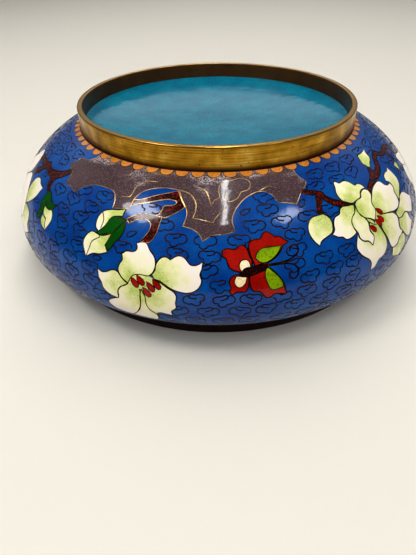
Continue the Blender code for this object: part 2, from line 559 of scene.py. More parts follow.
def smooth(points, steps=3, closed=False):
    """A curve through points on the sheet. It keeps sharp turns, and a closed one keeps
    its first point sharp too."""
    if closed:
        points = points + [points[0]]
    curve = []
    for i in range(len(points) - 1):
        start, end = points[i], points[i + 1]
        chord = end - start
        slopes = []
        for near, far, sign in ((i, i - 1, 1), (i + 1, i + 2, -1)):
            slope = chord
            if 0 <= far < len(points):
                side = (points[near] - points[far]) * sign
                if side.angle(chord) < SHARP_TURN:
                    slope = (side + chord) / 2
            slopes.append(slope)
        for step in range(steps):
            t = step / steps
            s = 1 - t
            curve.append(
                (1 + 2 * t) * s * s * start
                + t * s * s * slopes[0]
                + t * t * (3 - 2 * t) * end
                - t * t * s * slopes[1]
            )
    if not closed:
        curve.append(points[-1])
    return curve


def wire_section():
    """The wire's section: a low ridge whose foot is sunk in the enamel."""
    section = bpy.data.curves.new("wire_section", "CURVE")
    section.dimensions = "2D"
    section.fill_mode = "NONE"
    line = section.splines.new("POLY")
    line.points.add(2)
    line.use_cyclic_u = True
    half = WIRE_WIDTH / 2 * (WIRE_RISE + WIRE_SINK) / WIRE_RISE
    places = ((half, -WIRE_SINK), (-half, -WIRE_SINK), (0, WIRE_RISE))
    for point, place in zip(line.points, places):
        point.co = (*place, 0, 1)
    guide = bpy.data.objects.new("wire_section", section)
    bpy.context.scene.collection.objects.link(guide)
    return guide


def make_wires(name, lines, material, width):
    """Wires along lines on the sheet, each (points, closed), wrapped round the side."""
    guide = wire_section()
    curve = bpy.data.curves.new(name, "CURVE")
    curve.dimensions = "3D"
    curve.twist_mode = "Z_UP"
    curve.bevel_mode = "OBJECT"
    curve.bevel_object = guide
    curve.use_fill_caps = True
    for points, closed in lines:
        line = curve.splines.new("POLY")
        line.points.add(len(points) - 1)
        line.use_cyclic_u = closed
        for point, place in zip(line.points, points):
            point.co = (*place, 1)
            point.radius = width / sheet_scale(place.y)
    shape = bpy.data.objects.new(name, curve)
    bpy.context.scene.collection.objects.link(shape)
    graph = bpy.context.evaluated_depsgraph_get()
    raw = bpy.data.meshes.new_from_object(shape.evaluated_get(graph), depsgraph=graph)
    bpy.data.objects.remove(shape)
    bpy.data.objects.remove(guide)
    bm = bmesh.new()
    bm.from_mesh(raw)
    bmesh.ops.remove_doubles(bm, verts=bm.verts[:], dist=1e-4)
    for vert in bm.verts:
        # the section grows with the point's radius, and its height comes back here
        vert.co.z *= sheet_scale(vert.co.y) / width
    bmesh.ops.recalc_face_normals(bm, faces=bm.faces[:])
    mesh = mesh_of(name, bm)
    wrap(mesh)
    mesh.shade_smooth()
    new_piece(name, mesh, material, "gilt_wire")


def cut_across(bm, way, spacing):
    """Cuts a flat cell along lines square to a way, so that it can follow the curve."""
    places = [vert.co.dot(way) for vert in bm.verts]
    line = math.ceil(min(places) / spacing) * spacing
    while line < max(places):
        bmesh.ops.bisect_plane(
            bm, geom=bm.verts[:] + bm.edges[:] + bm.faces[:], dist=1e-5,
            plane_co=way * line, plane_no=way,
        )
        line += spacing


def make_cells(name, outlines, material, slot, rise):
    """Enamel cells from smooth outlines on the sheet, wrapped round the side."""
    every = bmesh.new()
    every.verts.layers.float.new("from_foot")
    for outline in outlines:
        bm = bmesh.new()
        from_foot = bm.verts.layers.float.new("from_foot")
        face = bm.faces.new([bm.verts.new(place) for place in outline])
        face.normal_update()
        if face.normal.z < 0:
            face.normal_flip()
        bmesh.ops.triangulate(bm, faces=[face])
        for way, spacing in CELL_CUTS:
            cut_across(bm, way, spacing)
        foot = outline[0]
        for vert in bm.verts:
            vert[from_foot] = (vert.co - foot).length * sheet_scale(foot.y) / PETAL_REACH
            vert.co.z = rise
        grown = bmesh.ops.extrude_face_region(bm, geom=bm.faces[:])["geom"]
        for part in grown:
            if isinstance(part, bmesh.types.BMVert):
                part.co.z = -CELL_DEPTH
        bmesh.ops.recalc_face_normals(bm, faces=bm.faces[:])
        cell = mesh_of("cell", bm)
        every.from_mesh(cell)
        bpy.data.meshes.remove(cell)
    mesh = mesh_of(name, every)
    wrap(mesh)
    mesh.shade_smooth()
    mesh.set_sharp_from_angle(angle=SHARP_EDGE)
    new_piece(name, mesh, material, slot)


# Forms of the picture, each an outline or line in (degrees round, mm down the side). An
# outline of a petal starts at its foot, and one that is open has no wire at its foot.

TRUNK = [
    (-46.5, -0.3), (-46.5, 4), (-48.5, 6.3), (-52, 6.7), (-52.5, 8.7), (-54, 12), (-51, 13),
    (-49.8, 14.3), (-48.5, 19), (-46, 18.5), (-43.5, 19.9), (-41, 16), (-38, 14), (-34.5, 13.5),
    (-30.8, 14), (-29.2, 17), (-28.7, 20), (-25, 19), (-23.8, 18.7), (-23.8, 15), (-22.3, 11.7),
    (-19.6, 9.7), (-15.8, 8.7), (-11.9, 9), (-10.6, 12.7), (-9, 16.3), (-8.8, 19.3),
    (-9.4, 22.3), (-7.3, 23), (-5.4, 24.7), (-4.6, 27.2), (-2.3, 25), (0, 24.8), (2.9, 23.9),
    (2.3, 20), (3.3, 16.3), (5.4, 13), (7.7, 11), (10, 10.1), (11.9, 10.3), (13.8, 12),
    (14.8, 15), (16.5, 15.5), (19.6, 16.8), (21.9, 13.3), (24.2, 11), (25.4, 9.3), (23.8, 5.7),
    (23.7, -0.3), (12, -0.3), (0, -0.3), (-12, -0.3), (-24, -0.3), (-36, -0.3),
]
TRUNK_LINES = [
    [(-19, 6.7), (-22.3, 7), (-24.6, 9.7), (-25.1, 13.7), (-25.8, 14.7), (-28.3, 15)],
    [(-28.1, 3.3), (-29.2, 6.7)],
    [(-11.9, 9), (-8.8, 10.3), (-6.9, 13.3), (-6.7, 16.7), (-7.2, 19.3), (-5, 19.8),
     (-2.3, 20.7), (-1.2, 18.3), (1.3, 15)],
    [(-6.9, 7.3), (-4.6, 8.7), (-3.5, 11.3), (-2.8, 14.7), (-2.1, 12.7), (-0.6, 11.3),
     (-0.8, 8.7), (-0.2, 6), (2.7, 4.7), (5.4, 3.7), (7.7, 4.5), (8.5, 6.3), (7.7, 8.7),
     (5.4, 9.7), (4.2, 12), (1.9, 13.2), (0.4, 12), (1.2, 8.3)],
    [(10, 10.1), (11.9, 9), (13.8, 8.3), (16, 9.7)],
]
CENTRE_TWIGS = [
    [(-12.2, 9.5), (-14, 10.3), (-16, 11.2), (-18.5, 12.5), (-21.5, 14.5), (-23.8, 15.3),
     (-23.9, 16.9), (-23, 17), (-21.5, 16.2), (-19.5, 15.2), (-17, 14), (-15, 13.2),
     (-13.5, 13.1), (-12.3, 13.4), (-11.8, 14.1), (-12.3, 14.9), (-13.5, 15.4), (-14.8, 15.7),
     (-15.3, 17.2), (-16, 19.7), (-14.9, 20), (-13.8, 19.7), (-12, 18.2), (-10, 16.1),
     (-9.6, 15.2), (-10.4, 13.6), (-11.5, 11)],
    [(-16, 19.7), (-18.5, 19.4), (-20.5, 19.7), (-22, 20.8), (-23.8, 22.6), (-22.8, 23.9),
     (-21.8, 22.8), (-20.6, 21.9), (-19.3, 21.4), (-18, 21.8), (-17.2, 23), (-17.2, 25),
     (-18, 27.2), (-18.7, 29), (-17.1, 29.3), (-16, 27.7), (-15.3, 25), (-15.1, 22.5),
     (-14.9, 20)],
]
TWIGS = [
    [(23.3, 11.7), (24.2, 12.7), (28.1, 14.7), (28.5, 16.3), (30.4, 18.7), (32.1, 20),
     (34, 21.5), (35.4, 23), (33.3, 22.7), (30.8, 21.7), (29, 20), (27.5, 17.7), (27.1, 17.7),
     (25.8, 20), (25.8, 22.3), (24.6, 22.3), (24.4, 20.7), (25.8, 15.3), (21.9, 13.3)],
    [(43.3, 22.3), (46, 20.8), (48.5, 19.7), (51, 19.8), (54, 18.7), (56, 17), (57.5, 15),
     (59.6, 13.7), (61, 14.2), (63, 16), (66.3, 16.4), (66.6, 19), (66.7, 21.6), (67.6, 21.6),
     (68.1, 19), (68.2, 16.5), (70, 16.7), (72.3, 19), (73.6, 22.5), (77, 24), (75, 20),
     (73, 16.7), (71, 14.8), (67, 14.3), (64.5, 14.6), (62.5, 13.2), (60.5, 11.6), (58.5, 11.8),
     (56, 13.5), (54, 15.7), (51.2, 17.2), (51, 14.9), (49.6, 14.2), (49, 16.3), (46.5, 18.5),
     (43.6, 20.3)],
    [(-51, 12.7), (-54, 15.7), (-57, 17.3), (-60, 18.3), (-62.5, 18), (-64, 17), (-66, 18.3),
     (-70, 19), (-74, 19.2), (-75.5, 20), (-73, 21.7), (-70, 21.2), (-66.7, 21.4), (-69, 23.8),
     (-71.6, 26.2), (-69.5, 27.3), (-66.5, 25), (-65, 21.8), (-63, 20.4), (-60, 20.8), (-57, 21),
     (-56.2, 24), (-54.5, 25.7), (-53.3, 24.7), (-54.3, 22.7), (-54.5, 20), (-52, 17.3),
     (-49.8, 14.3)],
]
CENTRE_BUD = {
    "petal": [
        [(-25, 19.3), (-26.7, 20.1), (-28.8, 20.7), (-30.8, 22), (-31.7, 24.7), (-31.3, 28),
         (-30, 29.3), (-28.8, 26.7), (-27.9, 23.3), (-26.2, 22.3), (-25.1, 22)],
        [(-26.3, 28.7), (-28.5, 30.3), (-30, 30.3), (-31.9, 30), (-33.2, 32.3), (-33.3, 35.3),
         (-31.7, 39.2), (-30, 37.3), (-28.1, 36.7), (-26.3, 35.3), (-27.1, 33.3), (-26.7, 31)],
    ],
    "leaf": [
        [(-23.8, 23), (-25.8, 22.5), (-27.9, 23.3), (-28.8, 26.7), (-30.4, 29.7), (-29.4, 30.7),
         (-28.1, 29.3), (-26.3, 28.7), (-24.4, 24.3)],
        [(-23.8, 23), (-23.5, 26.7), (-24, 29.3), (-24.8, 31), (-26, 34.7), (-27.3, 33.3),
         (-26.7, 30.7), (-26.3, 28.7), (-24.4, 24.3)],
    ],
    "veins": [
        [(-31, 22.3), (-29.8, 25), (-29.8, 28)],
        [(-29.2, 31), (-31, 33.3), (-31.3, 36), (-31.7, 39.2)],
    ],
}
CENTRE_FLOWER = {
    "petals": [
        [(-20.3, 44), (-21.8, 42.7), (-22.9, 40.2), (-22.7, 38), (-22.2, 36.4), (-22.6, 34.6),
         (-21.6, 33.3), (-19.9, 33), (-19.2, 31.7), (-19.6, 30), (-18.5, 29.3), (-17.2, 29.5),
         (-16.2, 31.6), (-15, 33.5), (-14.5, 36), (-14.8, 38.4), (-15.8, 40.2), (-17.5, 40.2),
         (-19, 40.7), (-19.8, 42)],
        [(-14.5, 41), (-15.1, 39.6), (-14.5, 38), (-14.4, 36), (-13.6, 33.8), (-12.4, 33.1),
         (-11.3, 33.9), (-10.3, 32.7), (-9.3, 32.3), (-8.2, 33), (-7, 35), (-5.7, 35.1),
         (-4.4, 34), (-4.5, 36.2), (-4.9, 38.2), (-4.5, 40.2), (-5, 42.5), (-6.3, 44.2),
         (-8, 44.7), (-10.2, 44), (-12, 42.6), (-13.2, 41.4)],
        [(-20.5, 44.4), (-21.8, 42.9), (-23, 41), (-24.3, 40.8), (-25.6, 42), (-26.8, 42.6),
         (-28, 42), (-27.7, 44.7), (-26.9, 46.6), (-26.5, 48.5), (-25.5, 50), (-24.3, 50.8),
         (-22.9, 51.1), (-22.6, 50), (-22.7, 48), (-22, 46.2)],
        [(-17.3, 45.6), (-17.6, 48), (-17.6, 51.5), (-18.2, 54.5), (-19.3, 57.3), (-20.2, 58.8),
         (-17.5, 59.5), (-14.5, 59.5), (-14, 57.5), (-14.3, 55.2), (-15.5, 53.7), (-16.3, 51),
         (-16.4, 48.2)],
    ],
    "open_petals": [
        [(-17.2, 45.4), (-14.6, 41), (-13, 42.1), (-11.5, 43.6), (-10.3, 44.7), (-9.7, 46.3),
         (-9.9, 49), (-9.8, 51), (-10.8, 52.6), (-10.7, 54.6), (-12.2, 54.3), (-13.4, 54.1),
         (-14.2, 55), (-15.5, 53.5), (-16.3, 51), (-16.4, 48.2)],
        [(-17.6, 45.4), (-20.3, 44.2), (-21, 45.2), (-22.2, 46.3), (-22.8, 48.3), (-22.7, 51),
         (-24, 51.9), (-25.4, 53.5), (-25.5, 55.3), (-24.3, 57.5), (-22.3, 58.6), (-20.5, 59),
         (-19.3, 57.2), (-18, 54.3), (-17.5, 51), (-17.5, 48)],
    ],
    "heart": [
        (-17.4, 45.5), (-20.3, 44.1), (-19.8, 42), (-19, 40.8), (-17.5, 40.3), (-15.8, 40.3),
        (-14.6, 41),
    ],
    "stamens": [(-18.8, 43.4), (-17.5, 42.3), (-15.2, 44), (-16, 46.2), (-13.9, 42.8)],
}
RIGHT_FLOWER = {
    "petals": [
        [(35.7, 22.7), (33.6, 21.4), (32.4, 19.3), (32.3, 16.8), (33, 14.8), (33.4, 12.9),
         (34.2, 12.7), (35.2, 13.9), (37, 13.7), (38.6, 14.8), (39.8, 17), (41, 16.9),
         (42.2, 18), (42.7, 19.9), (41.5, 19.6), (40, 20.2), (39, 21.9), (37.3, 22.2)],
        [(35.5, 23.3), (33.8, 22.5), (32.2, 22.2), (30.8, 22.9), (30, 24.4), (28.3, 25),
         (27.3, 27), (27, 29), (26, 30.4), (27.3, 31.8), (28.5, 32.3), (29.3, 33.5),
         (30.5, 33.7), (32, 33.2), (32.8, 32.6), (32.4, 30.5), (32.5, 28.5), (33.4, 27),
         (34.6, 26)],
        [(35.6, 23.6), (35, 25.5), (33.2, 27.2), (32.5, 29), (32.6, 31), (33.2, 33), (33.3, 35),
         (34.2, 36.6), (35.6, 37.4), (36.7, 39.5), (37.7, 37.2), (37.4, 35.6), (37, 34.3),
         (37.3, 32.4), (37.4, 30.8), (36.8, 29), (35.9, 26.8), (35.7, 25)],
        [(36, 23.3), (37.2, 22.3), (39.2, 22.1), (40, 20.7), (41.5, 19.9), (42.9, 20.6),
         (43.4, 22.3), (42.9, 23.8), (41.9, 25.3), (41.8, 27), (41.7, 28.8), (40.9, 30.3),
         (39.9, 31.8), (38.8, 30.5), (37.2, 29.3), (36, 27.7), (35.8, 25.3)],
        [(37.4, 29.6), (38.6, 30.6), (39.4, 32), (39.4, 33.2), (38.4, 32.2), (37.6, 31)],
        [(41.9, 28.9), (41.7, 27), (41.9, 25.3), (43, 24), (44.3, 22.4), (46.3, 21),
         (48.8, 20.5), (50.2, 21.2), (51.1, 23.2), (52.3, 24.3), (54, 24.4), (54.3, 26.5),
         (53.3, 28.3), (53.3, 30.5), (52.8, 32.5), (51.3, 33.7), (49, 33.6), (46.5, 32.6),
         (44.2, 31.6), (42.8, 30.2)],
        [(53.5, 30.7), (53.5, 28.4), (54.5, 26.5), (54.2, 24.2), (53, 22.8), (53.8, 20.9),
         (55.5, 20.3), (57.3, 20.5), (58.7, 19.6), (59.2, 22), (59.6, 25), (59.2, 27.3),
         (57.7, 28.8), (55.5, 30.4), (53.8, 32.6)],
        [(49.2, 34.6), (51.3, 34), (53.2, 32.8), (54.7, 31.3), (56.8, 30.9), (58.5, 31.8),
         (60, 33.9), (61.8, 36), (60.8, 38.5), (59.3, 41.3), (57.3, 40.3), (55.3, 38.5),
         (53.8, 37.6), (51.5, 37.9), (49.8, 37.2)],
        [(49.3, 38.8), (49.9, 37.4), (51.7, 38.1), (53.8, 37.8), (55.3, 38.9), (56.2, 41.5),
         (58, 44.6), (56.8, 47.2), (55.5, 49), (53.5, 47.8), (51.5, 45.2), (50.3, 43),
         (49.2, 41.2)],
        [(48, 44.3), (49.6, 43.8), (50.9, 44.6), (51.6, 47), (51.8, 50), (50.3, 51.6),
         (48.3, 52.5), (46.3, 50.9), (44.4, 49.5), (44.3, 47.5), (44.2, 45.9), (46.5, 46.2)],
    ],
    "open_petals": [
        [(40.4, 33.8), (39.3, 33.3), (38, 31.6), (37.5, 32.4), (37.2, 34.3), (37.8, 36.5),
         (37.4, 38.2), (36.7, 39.7), (35.6, 37.6), (34.2, 36.8), (33.1, 35), (33, 33.4),
         (32, 35.8), (31.6, 38), (32.3, 40.3), (33.4, 42.2), (34.8, 44), (35.5, 46),
         (35.3, 48.7), (36.7, 48.5), (37.7, 47), (38.5, 46.2), (39.8, 46), (41, 45), (41.8, 43),
         (41.9, 40.5), (41.5, 38), (40.8, 35.6)],
        [(41.3, 34), (43.9, 31.6), (45.8, 32.5), (47.7, 33.5), (48.8, 35), (49.3, 37),
         (48.9, 39.2), (49, 41.3), (50.3, 42.7), (49.3, 43.8), (47.9, 44.1), (46.6, 45.8),
         (45, 46), (43.8, 45.1), (43, 42.7), (42.4, 39.8), (41.6, 37)],
    ],
    "heart": [
        (40.4, 33.8), (39.5, 33), (40.8, 30.8), (41.8, 29), (43, 30.5), (43.9, 31.6), (41.3, 34),
    ],
    "stamens": [(42.9, 29.9), (42.2, 32.5), (41, 33.3), (38.4, 34.1)],
}
SMALL_BUDS = [
    [(25.5, 22.6), (26.6, 24), (27, 26), (26.7, 28), (26, 29.7), (24, 30.7), (22.8, 31.4),
     (22, 32.8), (21, 31), (20.3, 28.5), (20.3, 26), (21.2, 23.7), (22.6, 22.6)],
    [(50.6, 14.3), (50.1, 12.8), (49.7, 11.7), (50.2, 10), (51.2, 8.1), (53.5, 8.2), (57.4, 8.1),
     (56, 9.5), (55.5, 11.5), (54.3, 12.8), (52.8, 13.3), (51.6, 14.5)],
    [(66.9, 22), (66.8, 24), (65.5, 26.2), (64.7, 24.3), (64.1, 22.3)],
]
FAR_FLOWER = {
    "petals": [
        [(84, 33), (80, 32.3), (75.5, 30.6), (72, 28), (71, 25), (71.3, 22.7), (74, 22.9),
         (77, 24.8), (81, 26.6), (84.5, 29)],
        [(84, 37), (79, 39), (74, 38), (69.8, 36.5), (68.4, 33.5), (69, 30), (71, 27.5),
         (75.5, 30.6), (80, 32.3), (84, 33)],
        [(84.5, 38.5), (86.5, 43), (83, 45.2), (77, 43.3), (73, 41.3), (70, 37), (74, 38),
         (79, 39)],
        [(85.5, 38.5), (88, 39), (91, 43.5), (96, 45), (97, 41.5), (99.5, 38.5), (97, 35),
         (92, 33.5), (88, 34), (85.3, 35)],
        [(85, 33), (86, 28), (90, 24.5), (94, 25), (95.5, 29), (94, 32.5), (88, 33.8),
         (85.5, 34.5)],
    ],
    "stamens": [(86.8, 36.8), (86, 39.8), (88.6, 38.2)],
}
LEFT_BUD = {
    "leaf": [
        [(-53.5, 25.2), (-52, 25), (-50, 27.3), (-48, 28), (-46.5, 27), (-48, 30), (-49.5, 30.8),
         (-51.5, 30.3), (-52, 28.7), (-51.3, 32), (-52, 36), (-53.3, 37), (-53.5, 33.3),
         (-54.3, 29.3)],
    ],
    "petal": [
        [(-52, 28.7), (-50, 30.8), (-48, 30.1), (-46.8, 31.3), (-46.3, 34), (-47.5, 38),
         (-48.5, 36.3), (-48.8, 34.3), (-50.8, 33.3)],
        [(-50.8, 33.7), (-48.8, 34.7), (-48.5, 36.7), (-47.3, 38.3), (-49.5, 37.7), (-50.8, 36)],
    ],
}
LEFT_FLOWER = {
    "petals": [
        [(-64.3, 35.3), (-65.6, 32.3), (-65.5, 28.5), (-64.2, 25.7), (-62, 24.8), (-60, 25.9),
         (-57.3, 26.2), (-57.8, 28.5), (-58.3, 31), (-60, 34), (-61.8, 36.2), (-63.3, 37.3)],
        [(-63.3, 37.6), (-60.5, 37.4), (-58.5, 38.5), (-57.8, 41), (-58, 43.5), (-56.7, 46),
         (-60, 49), (-65, 53), (-69.5, 57.7), (-76, 57.5), (-80.5, 56), (-81.5, 53.2),
         (-74, 52.8), (-70, 50.7), (-66.5, 46.7), (-63.5, 43.7)],
        [(-83.5, 43), (-82, 38.7), (-77, 33.5), (-72.7, 29.3), (-70.2, 28.3), (-67.5, 31),
         (-65, 34.2), (-63.6, 38), (-63.5, 43.5), (-66.5, 46.5), (-70, 50.5), (-74, 52.6),
         (-80, 52.3), (-84, 50), (-85, 46)],
        [(-84, 40.8), (-86.5, 37.5), (-88, 33), (-84, 29), (-81, 25), (-79.5, 21.5),
         (-77.5, 19.4), (-75.3, 20.1), (-73.5, 22.3), (-72.7, 25), (-73.2, 28.8), (-77, 33),
         (-82, 38)],
        [(-85, 42.3), (-86.8, 38.3), (-90, 35.5), (-95, 36), (-97, 40), (-95.5, 44), (-97, 48),
         (-93, 51.5), (-88, 51.3), (-85.3, 49.5), (-86, 46)],
    ],
    "stamens": [(-82, 44.5), (-80.5, 42.2), (-82.7, 47.3)],
}
BUTTERFLY = {
    "red": [
        [(6.8, 36), (6, 32.5), (5.6, 29.5), (6, 27.7), (7.2, 27), (8.4, 26.9), (9.2, 25.3),
         (10, 24.8), (11, 25.6), (11.9, 26.8), (13.1, 27), (13.9, 28.2), (14.8, 29),
         (13.5, 29.8), (12.9, 31), (11.6, 33.2), (9.8, 34.8), (8.5, 35.6)],
        [(5.4, 38.7), (7, 38.1), (8.7, 37.2), (9.2, 36.4), (10, 37.2), (11.2, 39.3),
         (12.2, 41.5), (12.7, 44), (13, 46.6), (11.5, 46.1), (10.5, 46), (9.8, 46.9), (8.8, 47),
         (8, 45.6), (7.4, 44.5), (6.2, 44.2), (5.6, 43), (5.4, 41)],
        [(5.9, 36), (6.1, 34), (5.6, 32.2), (5.3, 30.3), (4.6, 28.8), (3.6, 28.7), (2.5, 29.9),
         (0.9, 29.5), (-0.2, 30.3), (-0.1, 32), (0.6, 32.8), (0.9, 34.2), (1.4, 36), (2.7, 37),
         (4, 37.4), (4.8, 36.5)],
        [(5.1, 39), (3.6, 38.4), (2.4, 38.3), (1.5, 39.3), (1.2, 41), (1.6, 42.6), (1.1, 43.8),
         (1.8, 45), (2.6, 44.2), (3.5, 44.1), (4.4, 44.2), (5, 42.7), (5.2, 40.5)],
    ],
    "lime": [
        [(12.9, 30), (10, 30), (8.4, 30.2), (7.3, 31.5), (6.9, 33.2), (8, 34.8), (9.5, 34.7),
         (11, 33.5), (12.2, 31.8)],
        [(9.1, 36.7), (8.7, 38.2), (8.8, 40.5), (9.3, 42.8), (9.9, 44.3), (11.2, 44.3),
         (12.5, 43.7), (12.2, 41.7), (11.3, 39.6), (10.2, 37.8), (9.6, 36.8)],
    ],
    "cream": [
        [(3.9, 37.2), (3.4, 36.3), (3.4, 34.8), (3.9, 33.6), (4.8, 33.4), (5.5, 34.2), (5.7, 36),
         (4.8, 36.1), (4.2, 36.6)],
        [(4.8, 39), (4.6, 40.8), (4, 42.1), (3.2, 42.6), (2.5, 41.8), (2.2, 40.6), (2.4, 39.5),
         (2.8, 38.7), (4, 39)],
    ],
    "dark": [
        [(3.3, 38.2), (4.1, 37), (5, 36.2), (6.4, 35.9), (8, 35.2), (9.5, 35.7), (9.2, 36.5),
         (8.7, 37.4), (7, 38.2), (5.6, 38.9), (4.6, 39.1), (3.8, 38.7)],
    ],
}
ANTENNAE = [
    [(9.4, 35.7), (11, 35.6), (13, 35.4), (15, 34.7), (16.4, 33.2), (16.7, 31.8), (16.2, 30.6),
     (15.5, 30.4), (14.9, 31), (14.7, 32.3)],
    [(9.7, 36.1), (12, 36), (14, 36.3), (15.3, 37.2), (16, 38.8), (15.8, 40.6), (15, 41.8),
     (14.2, 41.3), (13.9, 40.3), (14.1, 39.4), (14.7, 39)],
]
CLOUD = [
    (1, 0.5), (-0.3, 0.6), (-1.4, 1.1), (-1.5, 1.8), (-0.9, 2.3), (0.2, 2.1), (1.2, 1.8),
    (2.4, 2.1), (3.6, 1.6), (4, 0.4), (3.3, -0.6), (2.1, -0.8), (2.2, -1.7), (1.2, -2.5),
    (-0.1, -2.3), (-0.9, -1.4), (-2.2, -1.5), (-3.5, -0.8), (-3.9, 0.4), (-3.3, 1.5),
    (-2.4, 1.9), (-1.6, 1.7),
]
DROP = [
    (2.1, 0.1), (1, 0.75), (-0.3, 1), (-1.5, 0.6), (-1.8, -0.1), (-1.3, -0.8), (-0.1, -0.9),
    (1.1, -0.5), (2.1, 0.1),
]

# Cloud scrolls and drops, in mm from their middle, and stamens, which are drops too
CLOUD_SIZE = 0.96
CLOUD_PITCH = 9.9
CLOUD_ROWS = 5.0
FIRST_CLOUDS = 7.2
LAST_CLOUDS = 60
CLOUD_SHIFT = 0.5, 0.3
CLOUD_TURN = 0.16
CLOUD_SHOWN = 0.7
DROP_TURN = 0.7
DROP_ROOM = 1.5
DROP_PLACES = ((0, 0), (3, 0), (-3, 0), (0, 1.5), (0, -1.5))
STAMEN_SIZE = 1.12
STAMEN_LEAN = math.radians(131)

# Petal-shaped scallops under the foot ring, and plain wires by the mouth
SCALLOPS = 69
SCALLOP_START = 0.4
SCALLOP_HALF = 2.25
SCALLOP_DEPTH = 2.6
SCALLOP_TOP = -0.3
SCALLOP_BEND = 0.5
BORDERS = (61.5, 71.0)

# Each kind of cell: its piece's name, enamel, slot and how high it stands on the sheet
CELLS = {
    "scallop": ("scallop_cells", ochre_glaze, "ochre_enamel", 0.03),
    "trunk": ("trunk_cells", branch_glaze, "branch_enamel", 0.026),
    "twig": ("twig_cells", twig_glaze, "branch_enamel", 0.030),
    "petal": ("petal_cells", petal_enamel, "flower_enamel", 0.034),
    "leaf": ("leaf_cells", leaf_glaze, "green_enamel", 0.038),
    "red": ("wing_cells", red_glaze, "red_enamel", 0.034),
    "lime": ("wing_green_cells", lime_glaze, "green_enamel", 0.038),
    "cream": ("wing_spot_cells", cream_glaze, "flower_enamel", 0.042),
    "dark": ("butterfly_body_cell", dark_glaze, "branch_enamel", 0.046),
    "stamen": ("stamen_cells", red_glaze, "red_enamel", 0.042),
}
# Each kind of wire: its metal and its width, as a share of the usual one
WIRES = {
    "outline": (dull_wire, 1.4),
    "fine": (dull_wire, 0.8),
    # The trunk's wires take the copy painted bright, as if catching the light
    "trunk_gold": (bright_wire, 0.8),
    "cloud": (dull_wire, 1.12),
    "border": (dull_wire, 1.0),
}


class Picture:
    """What the side carries: enamel cells by colour, wires, and the places taken."""

    def __init__(self):
        self.cells = defaultdict(list)
        self.wires = defaultdict(list)
        self.taken = []

    def cell(self, kind, points, wire="outline", place=on_sheet):
        outline = smooth([place(*point) for point in points], closed=True)
        self.cells[kind].append(outline)
        if wire:
            self.wires[wire].append((outline, True))
        xs = [point.x for point in outline]
        ys = [point.y for point in outline]
        self.taken.append(((min(xs), max(xs), min(ys), max(ys)), outline))

    def line(self, kind, points, place=on_sheet):
        path = smooth([place(*point) for point in points])
        self.wires[kind].append((path, False))

    def is_taken(self, spot):
        for (left, right, low, high), outline in self.taken:
            if low < spot.y < high:
                for x in (spot.x, spot.x - SHEET_AROUND, spot.x + SHEET_AROUND):
                    if left < x < right and inside(x, spot.y, outline):
                        return True
        return False


def inside(x, y, outline):
    """Whether a point lies inside a closed outline."""
    found = False
    last = outline[-1]
    for place in outline:
        if (place.y > y) != (last.y > y):
            if x < (last.x - place.x) * (y - place.y) / (last.y - place.y) + place.x:
                found = not found
        last = place
    return found


def draw_flower(picture, flower, place):
    """Petals, those that run into the heart without a wire between, and stamens."""
    for petal in flower["petals"]:
        picture.cell("petal", petal, place=place)
    for petal in flower.get("open_petals", ()):
        picture.cell("petal", petal, None, place)
        picture.line("outline", petal[1:] + petal[:1], place)
    if "heart" in flower:
        picture.cell("petal", flower["heart"], None, place)
    flip = 1 if place is on_sheet else -1
    for spot in flower["stamens"]:
        centre = place(*spot)
        turn = Matrix.Diagonal((flip, 1, 1)) @ Matrix.Rotation(STAMEN_LEAN, 3, "Z")
        turn *= STAMEN_SIZE / sheet_scale(centre.y)
        outline = [centre + turn @ Vector((*point, 0)) for point in DROP[:-1]]
        picture.cells["stamen"].append(smooth(outline, 2, closed=True))
        picture.wires["outline"].append((outline, True))


def draw_sprays(picture, place):
    """The trunk, its twigs, the buds and the two magnolias that both sides have."""
    picture.cell("trunk", TRUNK, "trunk_gold", place)
    for line in TRUNK_LINES:
        picture.line("trunk_gold", line, place)
    for twig in CENTRE_TWIGS:
        picture.cell("twig", twig, "trunk_gold", place)
    for twig in TWIGS:
        picture.cell("twig", twig, place=place)
    for bud in (CENTRE_BUD, LEFT_BUD):
        for kind in ("petal", "leaf"):
            for outline in bud[kind]:
                picture.cell(kind, outline, place=place)
        for vein in bud.get("veins", ()):
            picture.line("outline", vein, place)
    for bud in SMALL_BUDS:
        picture.cell("petal", bud, place=place)
    draw_flower(picture, CENTRE_FLOWER, place)
    draw_flower(picture, RIGHT_FLOWER, place)


def draw_butterfly(picture):
    for kind, forms in BUTTERFLY.items():
        for form in forms:
            picture.cell(kind, form)
    for antenna in ANTENNAE:
        picture.line("outline", antenna)


def draw_scallops(picture):
    for index in range(SCALLOPS):
        middle = SCALLOP_START + 360 / SCALLOPS * (index + 0.5)
        points = [(middle - SCALLOP_HALF, SCALLOP_TOP)]
        for step in range(7):
            turn = math.pi * step / 6
            down = SCALLOP_BEND + SCALLOP_DEPTH * math.sin(turn)
            points.append((middle - SCALLOP_HALF * math.cos(turn), down))
        points.append((middle + SCALLOP_HALF, SCALLOP_TOP))
        flat = [on_sheet(*point) for point in points]
        if flat[0].x > SHEET_AROUND / 2:
            flat = [point - Vector((SHEET_AROUND, 0, 0)) for point in flat]
        picture.cells["scallop"].append(smooth(flat, 2, closed=True))
        picture.wires["fine"].append((smooth(flat, 2), False))


